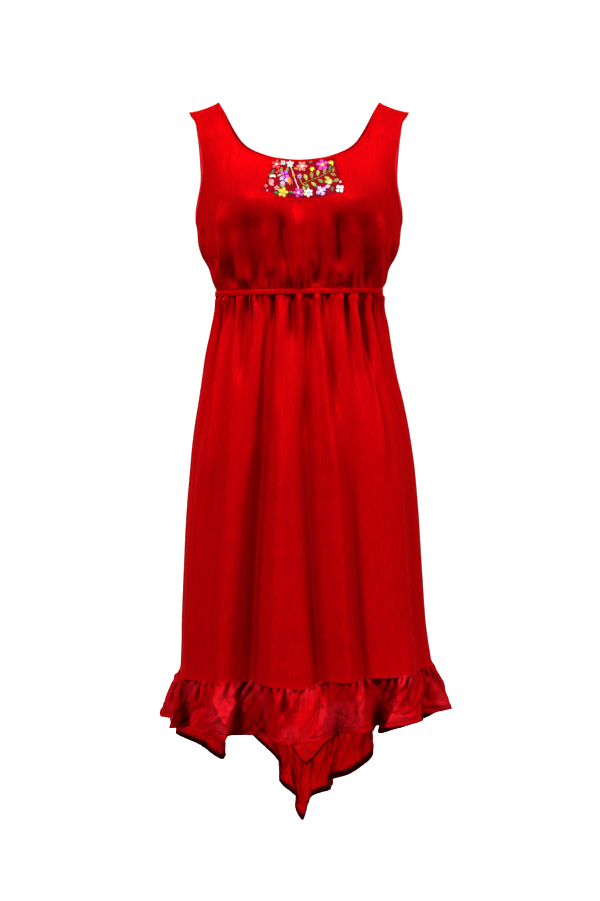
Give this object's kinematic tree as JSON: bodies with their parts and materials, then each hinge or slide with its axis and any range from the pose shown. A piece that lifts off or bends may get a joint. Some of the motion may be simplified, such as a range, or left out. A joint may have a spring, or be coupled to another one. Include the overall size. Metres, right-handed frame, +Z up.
{
  "type": "sleeveless dress",
  "caption": "Sleeveless scoop-neck dress with an embroidered yoke inset, gathered waist, A-line skirt and a gathered ruffle hem that drops to a point at the back.",
  "frame": {"origin": "midway between the two straps at the height of the shoulder neck points, where the dress is held", "axes": "+Z up, front faces -Y, +X to the viewer's right seen from the front"},
  "size_m": [0.4535, 0.3774, 1.1507],
  "materials": {
    "dress_cloth": "soft satin crepe",
    "inset_cloth": "matte weave with embroidery"
  },
  "bodies": {
    "root": {"bodice_front": "dress_cloth", "yoke_inset": "inset_cloth", "bodice_back": "dress_cloth", "neck_edge": "dress_cloth", "waist_casing": "dress_cloth", "skirt_front": "dress_cloth", "skirt_back": "dress_cloth", "ruffle_front": "dress_cloth", "ruffle_back": "dress_cloth"}
  },
  "joints": []
}
